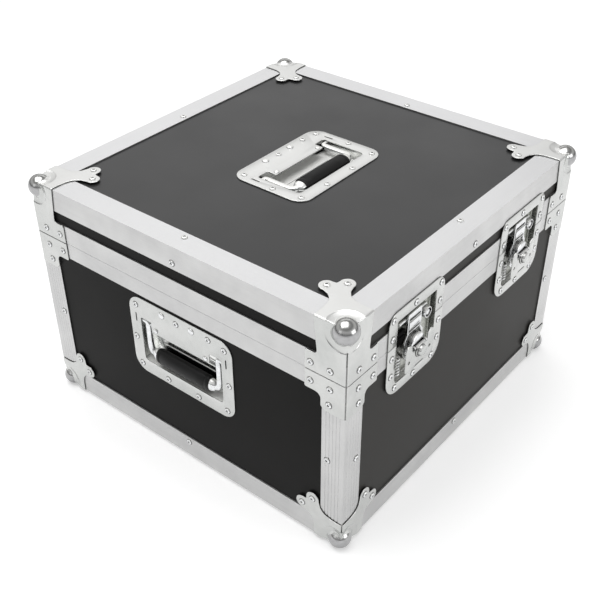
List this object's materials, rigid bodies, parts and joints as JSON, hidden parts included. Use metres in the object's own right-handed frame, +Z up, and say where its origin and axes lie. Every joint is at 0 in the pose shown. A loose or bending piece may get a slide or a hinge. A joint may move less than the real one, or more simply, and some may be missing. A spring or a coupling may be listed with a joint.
{
  "type": "flight case",
  "caption": "Hard equipment case of black laminated panels in aluminium edging, with ball corners, recessed spring handles, butterfly latches and a hinged lid.",
  "frame": {"origin": "on the ground under the middle of the case", "axes": "+Z up, the latched front faces -Y, the hinges are on +Y, +X is to the right seen from the front"},
  "size_m": [0.486, 0.4905, 0.3217],
  "materials": {
    "laminate": "satin black laminated plywood",
    "aluminium": "satin anodised",
    "zinc": "bright zinc plate",
    "steel": "bright plated steel",
    "grip": "matte black"
  },
  "bodies": {
    "base": {"base_back_panel": "laminate", "base_ball_corner_back_left": "zinc", "base_ball_corner_back_right": "zinc", "base_ball_corner_front_left": "zinc", "base_ball_corner_front_right": "zinc", "base_bottom_panel": "laminate", "base_edge_back": "aluminium", "base_edge_front": "aluminium", "base_edge_left": "aluminium", "base_edge_right": "aluminium", "base_front_panel": "laminate", "base_left_panel": "laminate", "base_right_panel": "laminate", "base_rim": "aluminium", "base_upright_back_left": "aluminium", "base_upright_back_right": "aluminium", "base_upright_front_left": "aluminium", "base_upright_front_right": "aluminium", "brace_corner_back_left": "zinc", "brace_corner_back_right": "zinc", "brace_corner_front_left": "zinc", "brace_corner_front_right": "zinc", "handle_dish_left": "zinc", "handle_dish_right": "zinc", "hinge_base_leaf_left": "zinc", "hinge_base_leaf_right": "zinc", "latch_dish_left": "zinc", "latch_dish_right": "zinc"},
    "lid": {"handle_dish_top": "zinc", "hinge_lid_leaf_left": "zinc", "hinge_lid_leaf_right": "zinc", "latch_keeper_left": "zinc", "latch_keeper_right": "zinc", "lid_back_panel": "laminate", "lid_ball_corner_back_left": "zinc", "lid_ball_corner_back_right": "zinc", "lid_ball_corner_front_left": "zinc", "lid_ball_corner_front_right": "zinc", "lid_edge_back": "aluminium", "lid_edge_front": "aluminium", "lid_edge_left": "aluminium", "lid_edge_right": "aluminium", "lid_front_panel": "laminate", "lid_left_panel": "laminate", "lid_right_panel": "laminate", "lid_rim": "aluminium", "lid_top_panel": "laminate"},
    "handle_left": {"handle_bail_left": "steel", "handle_grip_left": "grip"},
    "handle_right": {"handle_bail_right": "steel", "handle_grip_right": "grip"},
    "handle_top": {"handle_bail_top": "steel", "handle_grip_top": "grip"},
    "cam_left": {"latch_cam_left": "steel"},
    "wing_left": {"latch_wing_left": "zinc"},
    "hook_left": {"latch_hook_left": "steel"},
    "cam_right": {"latch_cam_right": "steel"},
    "wing_right": {"latch_wing_right": "zinc"},
    "hook_right": {"latch_hook_right": "steel"}
  },
  "joints": [
    {"name": "lid_hinge", "type": "hinge", "parent": "base", "child": "lid", "pos_m": [0, 0.2417, 0.246], "axis": [-1, 0, 0], "range_deg": [0, 100]},
    {"name": "handle_left_swing", "type": "hinge", "parent": "base", "child": "handle_left", "pos_m": [-0.2327, 0, 0.1858], "axis": [0, 1, 0], "range_deg": [0, 90], "stiffness_Nm_per_rad": 0.12},
    {"name": "handle_right_swing", "type": "hinge", "parent": "base", "child": "handle_right", "pos_m": [0.2327, 0, 0.1858], "axis": [0, -1, 0], "range_deg": [0, 90], "stiffness_Nm_per_rad": 0.12},
    {"name": "handle_top_swing", "type": "hinge", "parent": "lid", "child": "handle_top", "pos_m": [0, 0.022, 0.3114], "axis": [-1, 0, 0], "range_deg": [0, 90], "stiffness_Nm_per_rad": 0.12},
    {"name": "latch_left_turn", "type": "hinge", "parent": "base", "child": "cam_left", "pos_m": [-0.115, -0.236, 0.228], "axis": [0, -1, 0], "range_deg": [0, 180]},
    {"name": "latch_left_hook", "type": "slide", "parent": "base", "child": "hook_left", "axis": [0, 0, 1], "range_m": [0, 0.006]},
    {"name": "latch_left_fold", "type": "hinge", "parent": "cam_left", "child": "wing_left", "pos_m": [-0.115, -0.2434, 0.228], "axis": [-1, 0, 0], "range_deg": [0, 90]},
    {"name": "latch_right_turn", "type": "hinge", "parent": "base", "child": "cam_right", "pos_m": [0.115, -0.236, 0.228], "axis": [0, -1, 0], "range_deg": [0, 180]},
    {"name": "latch_right_hook", "type": "slide", "parent": "base", "child": "hook_right", "axis": [0, 0, 1], "range_m": [0, 0.006]},
    {"name": "latch_right_fold", "type": "hinge", "parent": "cam_right", "child": "wing_right", "pos_m": [0.115, -0.2434, 0.228], "axis": [-1, 0, 0], "range_deg": [0, 90]}
  ],
  "couplings": [
    {"joint": "latch_left_hook", "follows": "latch_left_turn", "m_per_rad": 0.0019},
    {"joint": "latch_right_hook", "follows": "latch_right_turn", "m_per_rad": 0.0019}
  ]
}
